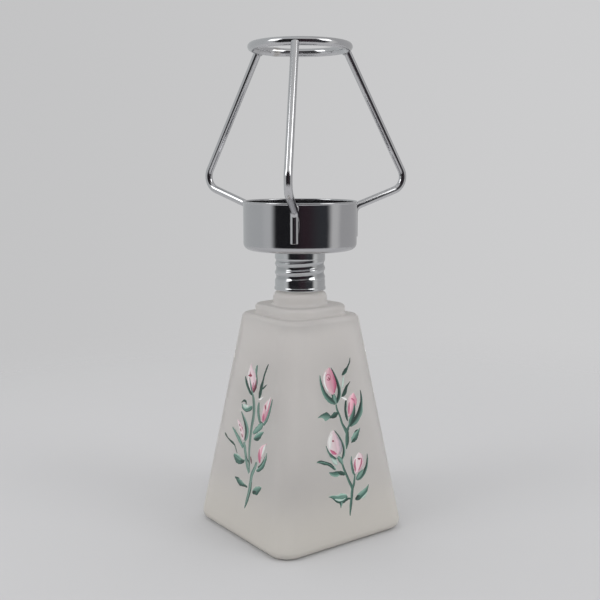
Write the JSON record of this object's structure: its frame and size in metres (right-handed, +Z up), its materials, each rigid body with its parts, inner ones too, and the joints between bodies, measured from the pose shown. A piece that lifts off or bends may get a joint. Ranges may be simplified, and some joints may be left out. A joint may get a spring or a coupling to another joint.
{
  "type": "tea light holder",
  "caption": "Tea light holder: a chromed candle cup and wire cage with a top ring, fixed on the screw cap of a square, tapering bottle of frosted glass.",
  "frame": {"origin": "middle of the bottle's foot, on the surface it stands on", "axes": "+Z up the bottle, through the cup and the ring; X and Y square to the bottle's flat sides; -Y and -X are the two sides that the picture shows"},
  "size_m": [0.0731, 0.0755, 0.1759],
  "materials": {
    "frosted_glass": "frosted outside by etching, smooth inside",
    "bright_aluminium": "rolled and bright",
    "liner_foam": "soft polyethylene foam",
    "plated_steel": "bright plating",
    "chromed_sheet": "polished chrome plating on pressed steel",
    "chromed_wire": "polished chrome plating on drawn steel wire"
  },
  "bodies": {
    "bottle": {"bottle": "frosted_glass"},
    "seal": {"cap_liner": "liner_foam"},
    "head": {"cap": "bright_aluminium", "cup_eyelet": "plated_steel", "candle_cup": "chromed_sheet", "arm_front": "chromed_wire", "arm_right": "chromed_wire", "arm_left": "chromed_wire", "top_ring": "chromed_wire"}
  },
  "joints": [
    {"name": "cap_lift", "type": "slide", "parent": "bottle", "child": "seal", "axis": [0, 0, 1], "range_m": [0, 0.00641]},
    {"name": "cap_unscrew", "type": "hinge", "parent": "seal", "child": "head", "pos_m": [0, 0, 0.096], "axis": [0, 0, 1], "range_deg": [0, 720]}
  ],
  "couplings": [
    {"joint": "cap_lift", "follows": "cap_unscrew", "m_per_rad": 0.0005093}
  ]
}
